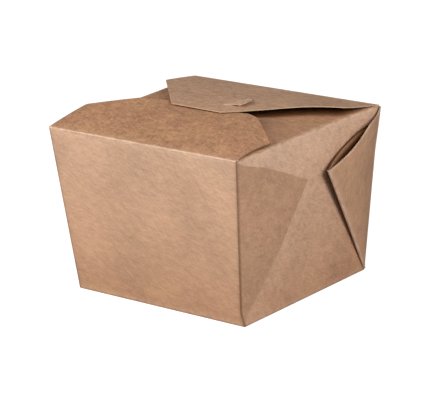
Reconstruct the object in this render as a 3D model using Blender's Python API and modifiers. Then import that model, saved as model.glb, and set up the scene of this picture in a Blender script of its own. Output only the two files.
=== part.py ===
"""A shut fold-top takeaway carton of plain kraft board, at its real size.

The carton is one sheet of board, folded: a tapered tub with a folded web at each upright corner,
two side flaps laid in first, then the front flap, then the back flap, held by a half-moon tab.
It is one closed solid. The web at the back right corner has sprung open into a pocket.

Metres, +Z up. X runs along the front panel and -Y is the front. The origin is the middle of the
flat bottom.
"""

import math

import bmesh
import bpy
from mathutils import Vector

MM = 0.001

# Tub
TOP_WIDTH = 118 * MM
TOP_DEPTH = 113 * MM
FOLD_HEIGHT = 85 * MM
BASE_WIDTH = 105.6 * MM
BASE_DEPTH = 97 * MM
BOARD = 0.45 * MM
EDGE_ROUND = 0.8 * MM
RIGHT_WALL_BOW = 2.1 * MM
LEFT_WALL_BOW = 3.5 * MM
BOW_GROWTH = 1.5
SIDE_FLAP_SAG = 0.5 * MM

# The front right corner is pinched in a little above its foot
CORNER_PINCH = 2.0 * MM
PINCH_HEIGHT = 8 * MM
PINCH_REACH = 26 * MM

# Notch in the top behind the end of each side flap
SIDE_FLAP_HALF = 44 * MM
NOTCH_WIDTH = 17 * MM
NOTCH_DEPTH = 6 * MM
NOTCH_RIM = 0.7 * MM

# Corner webs, each a triangle that fans out from the foot of its corner
WEB_ANGLE = math.radians(42.9)
WEB_TOP_DISTANCE = 74.3 * MM
WEB_TOP_ANGLE = math.radians(29.7)
WEB_DIP = 2.8 * MM
WEB_DIP_AT = math.radians(5.5)
WEB_DIP_REACH = math.radians(6)
WEB_START = 5 * MM
WEB_LAYERS = 2

# Pocket: the back right web, sprung open
POCKET_ANGLE = math.radians(37.5)
POCKET_STAND_OFF = 5 * MM
POCKET_STAND_OFF_AT = 76 * MM
POCKET_STAND_OFF_GROWTH = 0.6
POCKET_BULGE = 0.057
POCKET_PRESS_START = 0.6
POCKET_PRESS_GROWTH = 1.6
POCKET_FOLD_RADIUS = 0.8 * MM
POCKET_SINK = 0.2 * MM

# Front lid flap: plan outline from its hinge to its end, as half widths and distances from the hinge
FRONT_SHOULDER = (57.7 * MM, 26.6 * MM)
FRONT_ELBOW = (37.7 * MM, 42.9 * MM)
FRONT_END = (27.6 * MM, 48.3 * MM)
FRONT_SLOPE = 0.235
FRONT_CURVE = 1.6
FRONT_DROOP = 3.85 * MM
FRONT_DROOP_FROM = 33 * MM
FRONT_DISH = 1.1 * MM
FRONT_DISH_HALF = 36 * MM

# Back lid flap
BACK_SHOULDER = (57.5 * MM, 25.0 * MM)
BACK_END = (15.6 * MM, 70.0 * MM)
BACK_SLOPE = 0.16
BACK_CURVE = 0.88
BACK_TILT = 0.17 * MM
BACK_CURL = 0.55 * MM
BACK_CURL_AT = 40 * MM
BACK_CURL_REACH = 14 * MM

# Lock tab: the front flap's tongue comes up through a slit and its half-moon head lies on the lid,
# with the right shoulder popped out and the left one still under the back flap
TAB_HALF_WIDTH = 16.8 * MM
TAB_LENGTH = 21 * MM
TAB_FRONT = 1.2 * MM
TAB_LIFT = 0.9 * MM
TAB_LIFT_SPAN = (-4 * MM, 13 * MM)
TAB_LIFT_FADE = (8 * MM, 20 * MM)
TAB_SINK = 0.15 * MM
NECK_HALF_WIDTH = 11 * MM

# Mesh fineness
BODY_CUTS = 11
FLAP_COLUMNS = 24
FLAP_ROWS = 12
WEB_STEPS = 10

KRAFT_COLOUR = (0.43, 0.25, 0.135, 1.0)
KRAFT_ROUGHNESS = 0.82


def lerp(a, b, t):
    return a + (b - a) * t


def smoothstep(low, high, value):
    t = min(1.0, max(0.0, (value - low) / (high - low)))
    return t * t * (3 - 2 * t)


def half_width(z):
    return lerp(BASE_WIDTH, TOP_WIDTH, z / FOLD_HEIGHT) / 2


def half_depth(z):
    return lerp(BASE_DEPTH, TOP_DEPTH, z / FOLD_HEIGHT) / 2


def corner_pinch(side, y, z):
    """How far the side wall is drawn in near the foot of the front right corner."""
    if side < 0:
        return 0.0
    fade = (1 - z / FOLD_HEIGHT) * smoothstep(0, PINCH_HEIGHT, z)
    return CORNER_PINCH * fade * (1 - smoothstep(0, PINCH_REACH, y + half_depth(z)))


def wall_x(side, y, z):
    """Distance of a side wall's outer face from the middle plane, with side 1 right and -1 left."""
    bow = RIGHT_WALL_BOW if side > 0 else LEFT_WALL_BOW
    across = y / half_depth(z)
    inward = bow * (z / FOLD_HEIGHT) ** BOW_GROWTH * (1 - across**2)
    return half_width(z) - inward - corner_pinch(side, y, z)


def front_flap_height(x, out):
    """Height of the front flap's upper face, out being the distance from its hinge."""
    rise = FRONT_SLOPE * out - FRONT_CURVE * out**2
    droop_along = min(1.0, out / FRONT_SHOULDER[1]) ** 1.5
    droop_across = max(0.0, (x - FRONT_DROOP_FROM) / (FRONT_SHOULDER[0] - FRONT_DROOP_FROM)) ** 2
    dish_across = max(0.0, 1 - (x / FRONT_DISH_HALF) ** 4)
    dish = FRONT_DISH * dish_across * (out / FRONT_ELBOW[1]) ** 3
    return FOLD_HEIGHT + rise - FRONT_DROOP * droop_along * droop_across - dish


def back_flap_height(x, out):
    """Height of the back flap's upper face, out being the distance from its hinge."""
    rise = BACK_SLOPE * out - BACK_CURVE * out**2
    tilt = BACK_TILT * x / BACK_END[0] * (out / BACK_END[1]) ** 4
    curl_across = max(0.0, x / BACK_SHOULDER[0]) ** 3
    curl_along = math.exp(-(((out - BACK_CURL_AT) / BACK_CURL_REACH) ** 2))
    return FOLD_HEIGHT + rise - tilt + BACK_CURL * curl_across * curl_along


def kraft_board():
    """The one material: uncoated brown board."""
    material = bpy.data.materials.new("kraft_board")
    material.use_nodes = True
    shader = material.node_tree.nodes["Principled BSDF"]
    shader.inputs["Base Color"].default_value = KRAFT_COLOUR
    shader.inputs["Roughness"].default_value = KRAFT_ROUGHNESS
    shader.inputs["Metallic"].default_value = 0.0
    return material


def mesh_object(name, bm, collection, material):
    """An object from a finished bmesh, linked into its collection."""
    mesh = bpy.data.meshes.new(name)
    bm.to_mesh(mesh)
    bm.free()
    mesh.materials.append(material)
    obj = bpy.data.objects.new(name, mesh)
    collection.objects.link(obj)
    return obj


def face_towards(bm, direction):
    """Turns an open sheet over if it faces away from the direction."""
    bm.normal_update()
    total = sum((face.normal * face.calc_area() for face in bm.faces), Vector())
    if total.dot(direction) < 0:
        bmesh.ops.reverse_faces(bm, faces=bm.faces)


def thicken(obj, thickness):
    """Gives a sheet its board, on the side that it faces away from."""
    solidify = obj.modifiers.new("Board", "SOLIDIFY")
    solidify.thickness = thickness
    solidify.offset = -1.0
    return obj


def mapped_sheet(columns, rows, place):
    """A grid whose points go where place(a, b) says, with a and b from 0 to 1."""
    bm = bmesh.new()
    bmesh.ops.create_grid(bm, x_segments=columns, y_segments=rows, size=0.5)
    for vert in bm.verts:
        vert.co = place(vert.co.x + 0.5, vert.co.y + 0.5)
    return bm


def carton_body(collection, material):
    """The closed tub: a box drawn to the taper, with its side walls bowed in at the top."""
    bm = bmesh.new()
    bmesh.ops.create_cube(bm, size=2.0)
    bmesh.ops.subdivide_edges(bm, edges=bm.edges, cuts=BODY_CUTS, use_grid_fill=True)
    for vert in bm.verts:
        u, v, w = vert.co
        z = FOLD_HEIGHT * (w + 1) / 2
        y = v * half_depth(z)
        x = u * wall_x(1 if u > 0 else -1, y, z)
        on_top = w > 1 - 1e-6
        sag = SIDE_FLAP_SAG * (1 - max(abs(u), abs(v)) ** 8) if on_top else 0.0
        vert.co = (x, y, z - sag)
    body = mesh_object("folded_carton", bm, collection, material)
    bevel = body.modifiers.new("Folds", "BEVEL")
    bevel.width = EDGE_ROUND
    bevel.segments = 2
    bevel.limit_method = "ANGLE"
    bevel.angle_limit = math.radians(60)
    return body


def notch_cutters(collection, material):
    """A shallow hollow behind each end of the side flaps, just inside the tub's rim."""
    for side in (-1, 1):
        for end in (-1, 1):
            outer_x = TOP_WIDTH / 2 - NOTCH_RIM - 2 * EDGE_ROUND
            outer_y = TOP_DEPTH / 2 - NOTCH_RIM - 2 * EDGE_ROUND
            centre_x = side * (outer_x - NOTCH_WIDTH / 2)
            centre_y = end * (SIDE_FLAP_HALF + outer_y) / 2
            bpy.ops.mesh.primitive_cube_add(size=1, location=(centre_x, centre_y, FOLD_HEIGHT))
            cutter = bpy.context.object
            cutter.name = f"notch_cutter_{side}_{end}"
            cutter.scale = (NOTCH_WIDTH, outer_y - SIDE_FLAP_HALF, 2 * NOTCH_DEPTH)
            cutter.display_type = "WIRE"
            cutter.hide_render = True
            cutter.data.materials.append(material)
            for home in cutter.users_collection:
                home.objects.unlink(cutter)
            collection.objects.link(cutter)


def cut_outside(bm, start, end):
    """Trims a flat sheet to the inner side of the line from start to end and of its mirror line."""
    for mirror in (1, -1):
        a = Vector((mirror * start[0], start[1], 0))
        b = Vector((mirror * end[0], end[1], 0))
        outward = Vector((b.y - a.y, a.x - b.x, 0)) * mirror
        everything = bm.verts[:] + bm.edges[:] + bm.faces[:]
        bmesh.ops.bisect_plane(bm, geom=everything, plane_co=a, plane_no=outward, clear_outer=True)


def lid_flap(name, end_sign, corners, height, collection, material):
    """A lid flap that rises from its hinge, cut to its plan outline of half widths and reaches."""
    hinge_half = TOP_WIDTH / 2 - EDGE_ROUND / 2
    reach = corners[-1][1]
    bm = mapped_sheet(
        FLAP_COLUMNS, FLAP_ROWS, lambda a, b: Vector((hinge_half * (2 * a - 1), reach * b, 0))
    )
    outline = [(hinge_half, 0.0), *corners]
    for start, end in zip(outline, outline[1:]):
        cut_outside(bm, start, end)
    for vert in bm.verts:
        x, out, _ = vert.co
        y = end_sign * (TOP_DEPTH / 2 - EDGE_ROUND / 2 - out)
        vert.co = (x, y, height(x, out))
    face_towards(bm, Vector((0, 0, 1)))
    return thicken(mesh_object(name, bm, collection, material), BOARD)


def web_top(angle):
    """How far the web's free edge lies from the foot, along a ray at this angle to the corner."""
    dip = WEB_DIP * math.exp(-(((angle - WEB_DIP_AT) / WEB_DIP_REACH) ** 2))
    return WEB_TOP_DISTANCE / math.cos(angle - WEB_TOP_ANGLE) - dip


def corner_axes(side, end):
    """The foot of a corner, and the unit vectors up its edge, across the side wall and outward."""
    foot = Vector((side * BASE_WIDTH / 2, end * BASE_DEPTH / 2, 0))
    top = Vector((side * TOP_WIDTH / 2, end * TOP_DEPTH / 2, FOLD_HEIGHT))
    lean = math.atan2((TOP_WIDTH - BASE_WIDTH) / 2, FOLD_HEIGHT)
    outward = Vector((side * math.cos(lean), 0, -math.sin(lean)))
    upward = (top - foot).normalized()
    across = outward.cross(upward)
    if across.y * end > 0:
        across.negate()
    return foot, upward, across, outward


def flat_web(name, side, end, collection, material):
    """A web folded flat: two layers of board lying on the side wall."""
    foot, upward, across, outward = corner_axes(side, end)

    def place(a, b):
        angle = a * WEB_ANGLE
        distance = lerp(WEB_START, web_top(angle), b)
        point = foot + distance * (math.cos(angle) * upward + math.sin(angle) * across)
        point += EDGE_ROUND * (1 - a) * across
        stand_off = WEB_LAYERS * BOARD * a
        point.x = side * (wall_x(side, point.y, point.z) + stand_off)
        return point

    bm = mapped_sheet(WEB_STEPS, WEB_STEPS, place)
    face_towards(bm, outward)
    return thicken(mesh_object(name, bm, collection, material), (WEB_LAYERS + 1) * BOARD)


def pocket_fold_stand_off(distance):
    return POCKET_STAND_OFF * (distance / POCKET_STAND_OFF_AT) ** POCKET_STAND_OFF_GROWTH


def pocket_point(share, distance, stand_off):
    """A point on the sprung web: share 0 is the corner's edge and 1 is the web's fold."""
    foot, upward, across, outward = corner_axes(1, 1)
    angle = share * POCKET_ANGLE
    ray = math.cos(angle) * upward + math.sin(angle) * across
    inset = EDGE_ROUND * (1 - share)
    return foot + distance * ray + inset * across + stand_off * outward


def pocket_leaf(name, stand_off, collection, material):
    """One layer of the sprung web, standing off the wall as stand_off(share, distance) says."""

    def place(a, b):
        distance = lerp(WEB_START, web_top(a * WEB_ANGLE), b)
        return pocket_point(a, distance, stand_off(a, distance))

    bm = mapped_sheet(WEB_STEPS, WEB_STEPS, place)
    face_towards(bm, corner_axes(1, 1)[3])
    return thicken(mesh_object(name, bm, collection, material), BOARD)


def outer_leaf_stand_off(share, distance):
    bulge = POCKET_BULGE * distance * math.sin(math.pi * share)
    return pocket_fold_stand_off(distance) * share + bulge + POCKET_FOLD_RADIUS * share


def inner_leaf_stand_off(share, distance):
    """The inner leaf lies on the bowed wall, then swings out to the fold."""
    swing = max(0.0, (share - POCKET_PRESS_START) / (1 - POCKET_PRESS_START))
    away = (pocket_fold_stand_off(distance) - POCKET_FOLD_RADIUS) * swing**POCKET_PRESS_GROWTH
    flat = pocket_point(share, distance, 0.0)
    wall = wall_x(1, flat.y, flat.z) - flat.x
    return lerp(wall + BOARD - POCKET_SINK, 0.0, swing) + away


def pocket_fold(collection, material):
    """The round fold that joins the two leaves: a tapered rod along their common edge."""
    foot_end = pocket_point(1, WEB_START, pocket_fold_stand_off(WEB_START))
    reach = web_top(WEB_ANGLE)
    top_end = pocket_point(1, reach, pocket_fold_stand_off(reach))
    rod = bpy.data.curves.new("pocket_fold", "CURVE")
    rod.dimensions = "3D"
    rod.bevel_depth = POCKET_FOLD_RADIUS
    rod.bevel_resolution = 2
    rod.use_fill_caps = True
    spline = rod.splines.new("POLY")
    spline.points.add(WEB_STEPS)
    for index, point in enumerate(spline.points):
        distance = lerp(WEB_START, reach, index / WEB_STEPS)
        place = pocket_point(1, distance, pocket_fold_stand_off(distance))
        point.co = (*place, 1.0)
        point.radius = lerp(0.6, 1.0, (place - foot_end).length / (top_end - foot_end).length)
    guide = bpy.data.objects.new("pocket_fold_guide", rod)
    collection.objects.link(guide)
    graph = bpy.context.evaluated_depsgraph_get()
    mesh = bpy.data.meshes.new_from_object(guide.evaluated_get(graph))
    bm = bmesh.new()
    bm.from_mesh(mesh)
    bmesh.ops.remove_doubles(bm, verts=bm.verts, dist=0.01 * MM)
    bpy.data.objects.remove(guide)
    return mesh_object("pocket_fold", bm, collection, material)


def tab_head(collection, material):
    """The half-moon head, lying on the back flap with its right shoulder lifted clear."""

    def place(a, b):
        along = 0.99 * b
        x = TAB_HALF_WIDTH * (2 * a - 1) * math.sqrt(1 - along**2)
        y = TAB_FRONT + TAB_LENGTH * along
        popped = smoothstep(*TAB_LIFT_SPAN, x)
        lift = TAB_LIFT * popped * (1 - smoothstep(*TAB_LIFT_FADE, y - TAB_FRONT))
        level = lerp(-TAB_SINK, BOARD, popped)
        return Vector((x, y, back_flap_height(x, TOP_DEPTH / 2 - y) + level + lift))

    bm = mapped_sheet(WEB_STEPS, WEB_STEPS // 2, place)
    face_towards(bm, Vector((0, 0, 1)))
    return thicken(mesh_object("tab_head", bm, collection, material), BOARD + TAB_SINK)


def tab_neck(collection, material):
    """The tongue's neck, from the end of the front flap up through the slit to the head."""
    start_y = FRONT_END[1] - TOP_DEPTH / 2 - 2 * MM
    end_y = TAB_FRONT + 2 * MM
    start_z = front_flap_height(0.0, FRONT_END[1])
    end_z = back_flap_height(0.0, TOP_DEPTH / 2 - TAB_FRONT) - 2 * TAB_SINK

    def place(a, b):
        z = lerp(start_z, end_z, smoothstep(0.0, 1.0, b))
        return Vector((NECK_HALF_WIDTH * (2 * a - 1), lerp(start_y, end_y, b), z))

    bm = mapped_sheet(4, 8, place)
    face_towards(bm, Vector((0, 0, 1)))
    return thicken(mesh_object("tab_neck", bm, collection, material), BOARD)


def joined(body, cutters, pieces):
    """Cuts the notches, fuses every sheet to the tub and leaves one plain mesh."""
    cut = body.modifiers.new("Notches", "BOOLEAN")
    cut.operation = "DIFFERENCE"
    cut.operand_type = "COLLECTION"
    cut.collection = cutters
    fuse = body.modifiers.new("Sheets", "BOOLEAN")
    fuse.operation = "UNION"
    fuse.operand_type = "COLLECTION"
    fuse.collection = pieces
    graph = bpy.context.evaluated_depsgraph_get()
    mesh = bpy.data.meshes.new_from_object(body.evaluated_get(graph))
    body.modifiers.clear()
    body.data = mesh
    for collection in (cutters, pieces):
        for obj in list(collection.objects):
            bpy.data.objects.remove(obj)
        bpy.data.collections.remove(collection)
    return body


def main():
    for obj in list(bpy.data.objects):
        bpy.data.objects.remove(obj)
    carton = bpy.data.collections.new("Noodle takeaway box")
    sheets = bpy.data.collections.new("Sheets")
    cutters = bpy.data.collections.new("Cutters")
    for collection in (carton, sheets, cutters):
        bpy.context.scene.collection.children.link(collection)
    kraft = kraft_board()

    body = carton_body(carton, kraft)
    notch_cutters(cutters, kraft)
    front_corners = (FRONT_SHOULDER, FRONT_ELBOW, FRONT_END)
    lid_flap("front_flap", -1, front_corners, front_flap_height, sheets, kraft)
    lid_flap("back_flap", 1, (BACK_SHOULDER, BACK_END), back_flap_height, sheets, kraft)
    tab_neck(sheets, kraft)
    tab_head(sheets, kraft)
    for side, end in ((1, -1), (-1, -1), (-1, 1)):
        flat_web(f"web_{side}_{end}", side, end, sheets, kraft)
    pocket_leaf("pocket_inner", inner_leaf_stand_off, sheets, kraft)
    pocket_leaf("pocket_outer", outer_leaf_stand_off, sheets, kraft)
    pocket_fold(sheets, kraft)
    joined(body, cutters, sheets)


main()
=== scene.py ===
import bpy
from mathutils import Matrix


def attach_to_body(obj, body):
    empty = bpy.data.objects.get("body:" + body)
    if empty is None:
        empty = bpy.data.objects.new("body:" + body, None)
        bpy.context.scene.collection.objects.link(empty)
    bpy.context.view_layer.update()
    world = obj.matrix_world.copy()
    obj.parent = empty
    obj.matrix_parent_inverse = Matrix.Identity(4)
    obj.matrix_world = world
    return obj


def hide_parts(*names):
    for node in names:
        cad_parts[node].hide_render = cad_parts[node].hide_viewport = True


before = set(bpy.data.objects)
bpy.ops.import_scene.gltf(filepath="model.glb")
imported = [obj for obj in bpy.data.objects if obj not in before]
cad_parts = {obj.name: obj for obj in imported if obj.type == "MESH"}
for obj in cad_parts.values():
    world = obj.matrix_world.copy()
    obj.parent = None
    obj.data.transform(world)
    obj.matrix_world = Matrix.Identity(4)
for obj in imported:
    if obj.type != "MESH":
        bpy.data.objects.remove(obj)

"""A shut fold-top takeaway carton of plain kraft board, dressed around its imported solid.

The carton is one sheet of board, folded. The blank is the tub with its lid and side flaps in one
continuous mesh. The corner webs, the sprung web and the lock tab are pieces of their own.
Metres, +Z up. X runs along the front panel and -Y is the front.
"""

import logging
import math
from collections.abc import Callable, Sequence
from dataclasses import dataclass, field, replace
from enum import Enum

import bmesh
import bpy
from mathutils import Matrix, Vector, noise

MM = 0.001
BODY = "root"
NODE = "folded_carton"
FLAT_MAP = "board"
# Rubbed folds, and painted highlights along the top folds, the web folds and the sprung web's rim.
WEAR_AND_HIGHLIGHT = "wear"
# Painted sheen: a paler colour towards the walls' tops and on some panels, standing in for the lights'
# sheen.
PAINTED_SHEEN = "painted_sheen"
# Crushed score lines, and painted shade: the corner lines, the webs, the slot behind the sprung web, its
# pocket, the lid flaps' edges and under the lid flaps.
CREASE_AND_SHADE = "crease"
GRIT = "grit"
MERGE_DISTANCE = 0.005 * MM
SHARP_ANGLE = math.radians(38)
FOLD_WIDTH = 1.2 * MM

log = logging.getLogger("takeaway_carton")


class Corner(Enum):
    """The upright corners, each as its side (1 right, -1 left) and its end (1 back, -1 front)."""

    FRONT_RIGHT = (1, -1)
    FRONT_LEFT = (-1, -1)
    BACK_LEFT = (-1, 1)
    BACK_RIGHT = (1, 1)


def lerp(a: float, b: float, t: float) -> float:
    """A value between a and b."""
    return a + (b - a) * t


def smoothstep(low: float, high: float, value: float) -> float:
    """0 below low and 1 above high, with a smooth rise between."""
    t = min(1.0, max(0.0, (value - low) / (high - low)))
    return t * t * (3 - 2 * t)


def spread(low: float, high: float, count: int, near: Sequence[float] = ()) -> list[float]:
    """Even steps from low to high, with extra values close to both ends.

    Args:
        low: The first value.
        high: The last value.
        count: How many even steps there are.
        near: Distances from each end at which a value is added.

    Returns:
        The values in rising order.
    """
    values = {round(lerp(low, high, i / count), 7) for i in range(count + 1)}
    values |= {round(low + step, 7) for step in near} | {round(high - step, 7) for step in near}
    return sorted(values)


@dataclass(frozen=True)
class WebEdge:
    """A web's free edge: how far it is from the corner's foot, along a ray at an angle to the corner.

    Attributes:
        distance: Least distance of the straight part.
        angle: Where the straight part is nearest.
        dip: How much lower the edge is beside the corner.
        dip_at: Angle of the lowest place of the dip.
        dip_reach: How wide the dip is, as an angle.
    """

    distance: float = 75.4 * MM
    angle: float = math.radians(29.5)
    dip: float = 2.5 * MM
    dip_at: float = math.radians(2)
    dip_reach: float = math.radians(10)

    def reach(self, angle: float) -> float:
        """The distance at an angle."""
        dip = self.dip * math.exp(-(((angle - self.dip_at) / self.dip_reach) ** 2))
        return self.distance / math.cos(angle - self.angle) - dip


@dataclass(frozen=True)
class CartonForm:
    """The sizes that every panel and web is laid out from."""

    top_width: float = 118 * MM
    top_depth: float = 113 * MM
    height: float = 85 * MM
    base_width: float = 105.6 * MM
    base_depth: float = 97 * MM
    board: float = 0.45 * MM
    fold_radius: float = 0.8 * MM
    right_bow: float = 2.1 * MM
    left_bow: float = 3.5 * MM
    bow_growth: float = 1.5
    pinch: float = 2.0 * MM
    pinch_height: float = 8 * MM
    pinch_reach: float = 26 * MM
    web_angle: float = math.radians(42.9)
    web_edge: WebEdge = WebEdge()

    def half_width(self, z: float) -> float:
        """Half of the tub's width at a height, without the bow of its side walls."""
        return lerp(self.base_width, self.top_width, z / self.height) / 2

    def half_depth(self, z: float) -> float:
        """Half of the tub's depth at a height."""
        return lerp(self.base_depth, self.top_depth, z / self.height) / 2

    def bow(self, side: int) -> float:
        """How far the middle of a side wall's top is drawn in."""
        return self.right_bow if side > 0 else self.left_bow

    def wall_x(self, side: int, y: float, z: float) -> float:
        """Distance of a side wall's outer face from the middle plane.

        Args:
            side: 1 for the right wall and -1 for the left one.
            y: Where on the wall, along its length.
            z: Height.

        Returns:
            The distance in metres, always positive.
        """
        share = z / self.height
        across = y / self.half_depth(z)
        inward = self.bow(side) * max(0.0, share) ** self.bow_growth * (1 - across**2)
        if side > 0:
            fade = (1 - share) * smoothstep(0, self.pinch_height, z)
            from_corner = y + self.half_depth(z)
            inward += self.pinch * fade * (1 - smoothstep(0, self.pinch_reach, from_corner))
        return self.half_width(z) - inward

    def corner_axes(self, corner: Corner) -> tuple[Vector, Vector, Vector, Vector]:
        """The foot of a corner, and unit vectors up its edge, across the side wall and outward."""
        side, end = corner.value
        foot = Vector((side * self.base_width / 2, end * self.base_depth / 2, 0))
        top = Vector((side * self.top_width / 2, end * self.top_depth / 2, self.height))
        lean = math.atan2((self.top_width - self.base_width) / 2, self.height)
        outward = Vector((side * math.cos(lean), 0, -math.sin(lean)))
        upward = (top - foot).normalized()
        across = outward.cross(upward)
        if across.y * end > 0:
            across.negate()
        return foot, upward, across, outward


@dataclass(frozen=True)
class PanelTone:
    """Painted sheen on each panel's face, from 0 to 1: the walls are painted paler towards their tops,
    standing in for the lights' sheen.
    """

    front_foot: float = 0.0
    front_top: float = 0.72
    front_growth: float = 0.65
    side_foot_front: float = 0.28
    side_foot_back: float = 0.0
    side_growth: float = 1.0
    side_top: float = 1.0
    front_lid: float = 0.0
    back_lid: float = 0.56
    side_lid: float = 0.08
    web: float = 0.35
    sprung_web: float = 0.25
    tab: float = 1.0
    front_grit: float = 0.05
    side_grit: float = 0.7
    front_lid_grit: float = 1.9
    web_grit: float = 0.7
    sprung_web_grit: float = 0.5

    def wall(self, form: CartonForm, place: Vector) -> float:
        """The painted sheen at a point on one of the walls."""
        climb = min(1.0, max(0.0, place.z / form.height))
        front = lerp(self.front_foot, self.front_top, climb**self.front_growth)
        along = 0.5 + 0.5 * place.y / form.half_depth(place.z)
        side_foot = lerp(self.side_foot_front, self.side_foot_back, along)
        side = lerp(side_foot, self.side_top, climb**self.side_growth)
        return lerp(side, front, self.on_end(form, place))

    def on_end(self, form: CartonForm, place: Vector) -> float:
        """1 on the front and back walls and 0 on the side walls."""
        reach_x = abs(place.x) / form.half_width(place.z)
        reach_y = abs(place.y) / form.half_depth(place.z)
        return smoothstep(-0.01, 0.01, reach_y - reach_x)

    def grit(self, form: CartonForm, place: Vector) -> float:
        """How coarse the fibres look at a point on one of the walls."""
        return lerp(self.side_grit, self.front_grit, self.on_end(form, place))


@dataclass(frozen=True)
class Column:
    """One place on the tub's outer line.

    Attributes:
        point: The place.
        way: The way that the wall faces there, in plan.
        crease: How crushed it is there, and the painted shade along the corner folds.
        flap: The number of the wall whose flap folds from it: 0 front, 1 right, 2 back, 3 left.
    """

    point: Vector
    way: Vector
    crease: float
    flap: int | None = None


@dataclass
class Patch:
    """A grid of points on the board's outer face, added row by row.

    Attributes:
        painted_sheen: The painted sheen at a point: how much paler the board's face is painted, from 0 to
            1.
        grit: How coarse the fibres look at a point.
        rows: Each point's place, its place on the flat board, its rubbing and painted highlight, and its
            crushing and painted shade.
    """

    painted_sheen: Callable[[Vector], float]
    grit: Callable[[Vector], float] = lambda place: 1.0
    rows: list[list[tuple]] = field(default_factory=list)

    def add(
        self,
        points: Sequence[Vector],
        flats: Sequence[tuple[float, float]],
        wear: float | Sequence[float] = 0.0,
        crease: float | Sequence[float] = 0.0,
    ) -> None:
        """Adds a row.

        Args:
            points: The places.
            flats: The same points on the flat board, in metres, kept as the UV map.
            wear: How rubbed the fold is and how bright its painted highlight, for the whole row or for
                each point.
            crease: How crushed the board is and how dark its painted shade, likewise.
        """
        marks = [v if isinstance(v, Sequence) else [v] * len(points) for v in (wear, crease)]
        self.rows.append(list(zip(points, flats, *marks)))

    def border(self, row: int) -> list[Vector]:
        """The points of a row."""
        return [point for point, *_ in self.rows[row]]


def board_mesh(patches: Sequence[Patch]) -> bmesh.types.BMesh:
    """Joins patches into one mesh, merged where their borders meet.

    Args:
        patches: The grids, each with the rows running the same way round.

    Returns:
        The mesh, with its flat layout as a UV map and the painted values as attributes.
    """
    bm = bmesh.new()
    flat_layer = bm.loops.layers.uv.new(FLAT_MAP)
    layers = [bm.verts.layers.float.new(name) for name in (WEAR_AND_HIGHLIGHT, CREASE_AND_SHADE, PAINTED_SHEEN, GRIT)]
    for patch in patches:
        grid = []
        for row in patch.rows:
            verts = []
            for point, _, worn, crushed_and_shaded in row:
                vert = bm.verts.new(point)
                values = (worn, crushed_and_shaded, patch.painted_sheen(vert.co), patch.grit(vert.co))
                for layer, value in zip(layers, values):
                    vert[layer] = value
                verts.append(vert)
            grid.append(verts)
        for r in range(len(grid) - 1):
            for c in range(len(grid[r]) - 1):
                places = ((r, c), (r, c + 1), (r + 1, c + 1), (r + 1, c))
                face = bm.faces.new([grid[i][j] for i, j in places])
                for loop, (i, j) in zip(face.loops, places):
                    loop[flat_layer].uv = patch.rows[i][j][1]
    bmesh.ops.remove_doubles(bm, verts=bm.verts, dist=MERGE_DISTANCE)
    bmesh.ops.dissolve_degenerate(bm, edges=bm.edges, dist=MERGE_DISTANCE)
    return bm


def turned_out(bm: bmesh.types.BMesh, way: Vector) -> bmesh.types.BMesh:
    """Makes a sheet's faces agree, so that the face furthest along a direction looks that way."""
    bmesh.ops.recalc_face_normals(bm, faces=bm.faces)
    furthest = max(bm.faces, key=lambda face: face.calc_center_median().dot(way))
    if furthest.normal.dot(way) < 0:
        bmesh.ops.reverse_faces(bm, faces=bm.faces)
    return bm


def plain_mesh(obj: bpy.types.Object) -> None:
    """Replaces an object's mesh by its evaluated one, without modifiers, shaded smooth up to its edges."""
    graph = bpy.context.evaluated_depsgraph_get()
    mesh = bpy.data.meshes.new_from_object(obj.evaluated_get(graph))
    obj.modifiers.clear()
    old = obj.data
    obj.data = mesh
    bpy.data.meshes.remove(old)
    mesh.name = obj.name
    mesh.shade_smooth()
    mesh.set_sharp_from_angle(angle=SHARP_ANGLE)


def board_object(
    name: str, bm: bmesh.types.BMesh, materials: Sequence[bpy.types.Material], thickness: float
) -> bpy.types.Object:
    """Gives a sheet its thickness, with its cut edges in the second material.

    Args:
        name: The piece's name.
        bm: The outer face of the sheet, which is used up.
        materials: The face and the cut edge.
        thickness: Thickness of the board, laid on the side that the sheet faces away from.

    Returns:
        The finished object.
    """
    mesh = bpy.data.meshes.new(name)
    bm.to_mesh(mesh)
    bm.free()
    for material in materials:
        mesh.materials.append(material)
    obj = bpy.data.objects.new(name, mesh)
    bpy.context.scene.collection.objects.link(obj)
    solidify = obj.modifiers.new("Board", "SOLIDIFY")
    solidify.thickness = thickness
    solidify.offset = -1.0
    solidify.use_even_offset = True
    solidify.material_offset_rim = 1
    plain_mesh(obj)
    return obj


def attach(obj: bpy.types.Object) -> None:
    """Makes a piece ride on the carton's body in place of its plain solid."""
    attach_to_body(obj, BODY)
    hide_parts(NODE)
    log.info("%s: %d faces", obj.name, len(obj.data.polygons))


def operator(operation: str, swapped: bool = False) -> Callable[["Number", object], "Number"]:
    """A method that works out one Math operation, with its operands swapped if asked."""

    def work(number: "Number", other: object) -> "Number":
        """The operation's result."""
        pair = (other, number) if swapped else (number, other)
        return number.wire.maths(operation, *pair)

    return work


@dataclass(frozen=True)
class Number:
    """A node's output, so that a tree is written as plain arithmetic."""

    wire: "Wiring"
    socket: bpy.types.NodeSocket

    __add__ = operator("ADD")
    __sub__ = operator("SUBTRACT")
    __rsub__ = operator("SUBTRACT", swapped=True)
    __mul__ = operator("MULTIPLY")
    __truediv__ = operator("DIVIDE")
    __rtruediv__ = operator("DIVIDE", swapped=True)
    __pow__ = operator("POWER")

    def __neg__(self) -> "Number":
        """The negative."""
        return self * -1.0


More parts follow.
